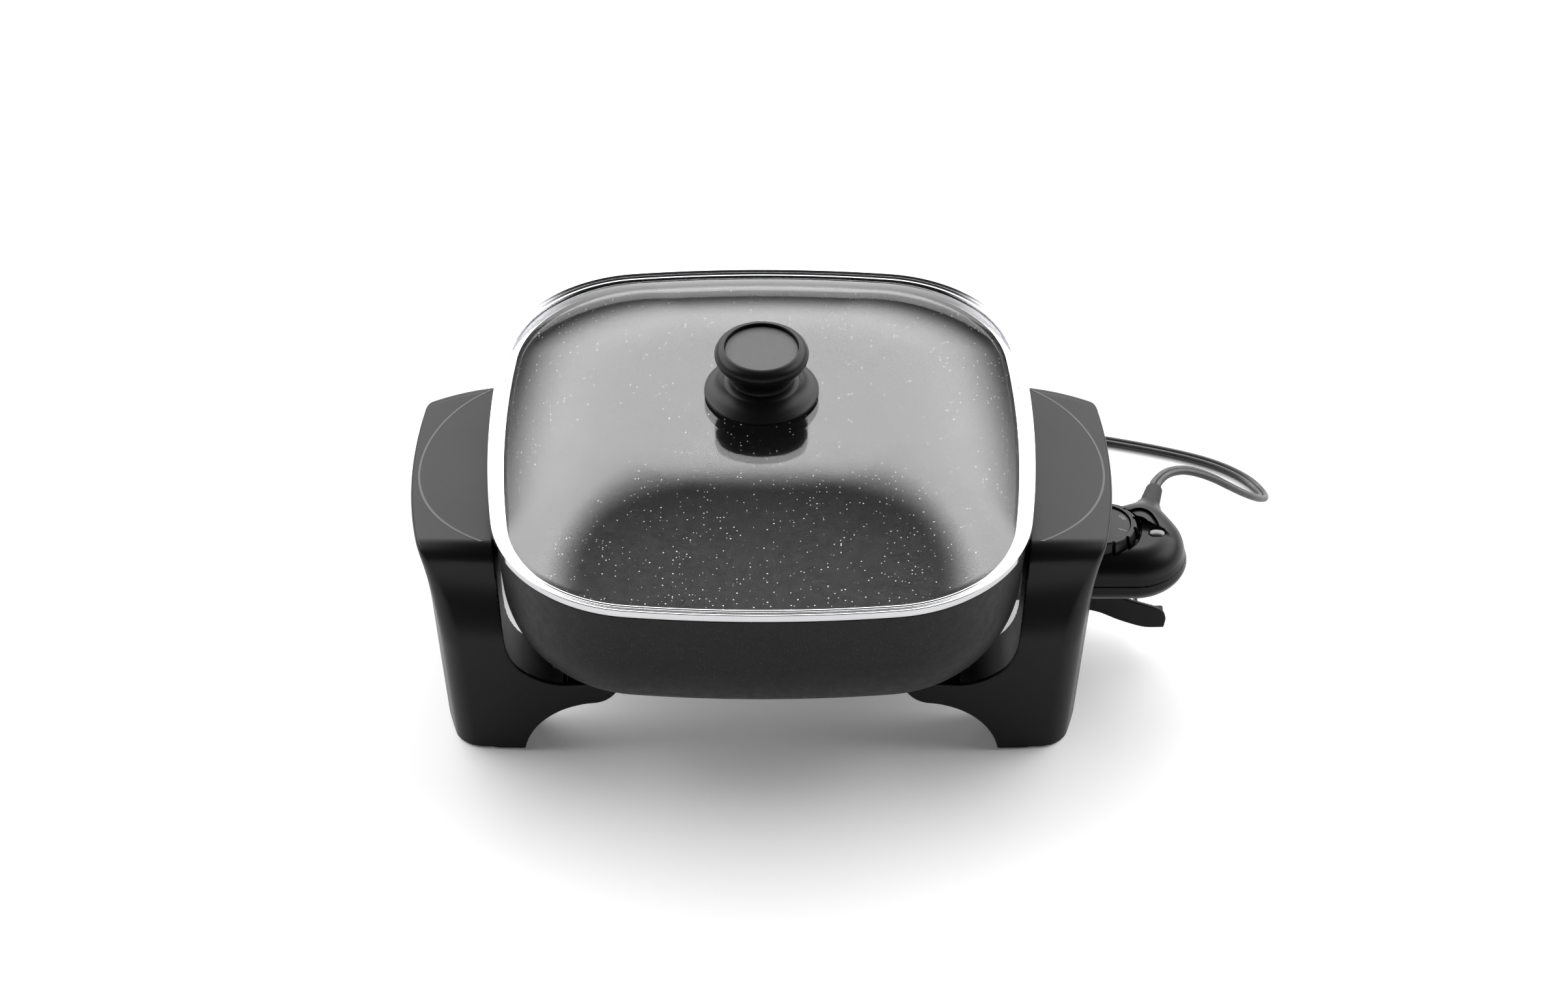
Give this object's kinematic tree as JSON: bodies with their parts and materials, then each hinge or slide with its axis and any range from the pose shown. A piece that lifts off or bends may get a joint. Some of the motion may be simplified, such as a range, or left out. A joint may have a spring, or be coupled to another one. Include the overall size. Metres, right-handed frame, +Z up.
{
  "type": "electric skillet",
  "caption": "Square electric skillet: deep cast pan, lift-off domed glass lid with knob, two moulded side frames as handle and legs, plug-in dial probe with cord.",
  "frame": {"origin": "on the table, under the middle of the box that holds pan, frames, lid and probe (cord and plug left out); the pan's own middle is at x = -23.5 mm", "axes": "+Z up, +X towards the probe, -Y towards the viewer of the picture"},
  "size_m": [0.5228, 0.3835, 0.2265],
  "materials": {
    "pan_coat": "die-cast, charcoal non-stick coat with fine light specks",
    "element_sheath": "dull extruded sheath",
    "bright_steel": "plain zinc-plated",
    "polished_steel": "polished stainless trim",
    "ceramic": "unglazed steatite, off-white",
    "black_moulding": "fine-textured black phenolic",
    "grey_inlay": "satin strip",
    "rubber_black": "matt",
    "lid_glass": "tempered, clear, slightly hazed",
    "knob_disc": "coarse-textured charcoal",
    "clear_lens": "smoked clear lens",
    "brass_parts": "bright",
    "dial_plastic": "black, printed with white numbers",
    "cord_pvc": "smooth flexible twin flat cord"
  },
  "bodies": {
    "base": {"pan": "pan_coat", "heating_element": "element_sheath", "terminal_pins": "bright_steel", "terminal_bushes": "ceramic", "terminal_guard": "bright_steel", "guard_screws": "bright_steel", "right_frame": "black_moulding", "left_frame": "black_moulding", "right_liner": "black_moulding", "left_liner": "black_moulding", "grip_inlays": "grey_inlay", "rubber_feet": "rubber_black", "boss_spacers": "bright_steel", "frame_screws": "bright_steel", "liner_screws": "bright_steel"},
    "lid": {"lid_glass": "lid_glass", "lid_ring": "polished_steel", "knob_skirt": "black_moulding", "knob_body": "black_moulding", "knob_cap": "knob_disc", "knob_screw": "bright_steel", "knob_washer": "rubber_black"},
    "probe": {"probe_top_shell": "black_moulding", "probe_bottom_shell": "black_moulding", "socket_block": "black_moulding", "contact_sockets": "brass_parts", "probe_rod": "bright_steel", "thermostat_base": "ceramic", "bimetal_blade": "brass_parts", "contact_arm": "brass_parts", "neon_lamp": "clear_lens", "indicator_lens": "clear_lens", "strain_relief": "rubber_black", "shell_screws": "bright_steel", "lever_pin": "bright_steel", "lever_spring": "bright_steel", "supply_cord": "cord_pvc", "cord_coil": "cord_pvc", "cord_tail": "cord_pvc", "cord_tie": "rubber_black", "plug_body": "rubber_black", "plug_blades": "brass_parts"},
    "dial": {"dial_ring": "dial_plastic", "dial_face": "dial_plastic", "dial_spindle": "brass_parts"},
    "lever": {"release_lever": "black_moulding"}
  },
  "joints": [
    {"name": "lid_lift", "type": "slide", "parent": "base", "child": "lid", "axis": [0, 0, 1], "range_m": [0, 0.12]},
    {"name": "probe_pull", "type": "slide", "parent": "base", "child": "probe", "axis": [1, 0, 0], "range_m": [0, 0.085]},
    {"name": "dial_turn", "type": "hinge", "parent": "probe", "child": "dial", "pos_m": [0.1797, 0, 0.084], "axis": [0, 0, -1], "range_deg": [0, 300]},
    {"name": "lever_squeeze", "type": "hinge", "parent": "probe", "child": "lever", "pos_m": [0.1585, 0, 0.049], "axis": [0, -1, 0], "range_deg": [0, 14], "stiffness_Nm_per_rad": 0.05, "springref_deg": -20.05}
  ]
}
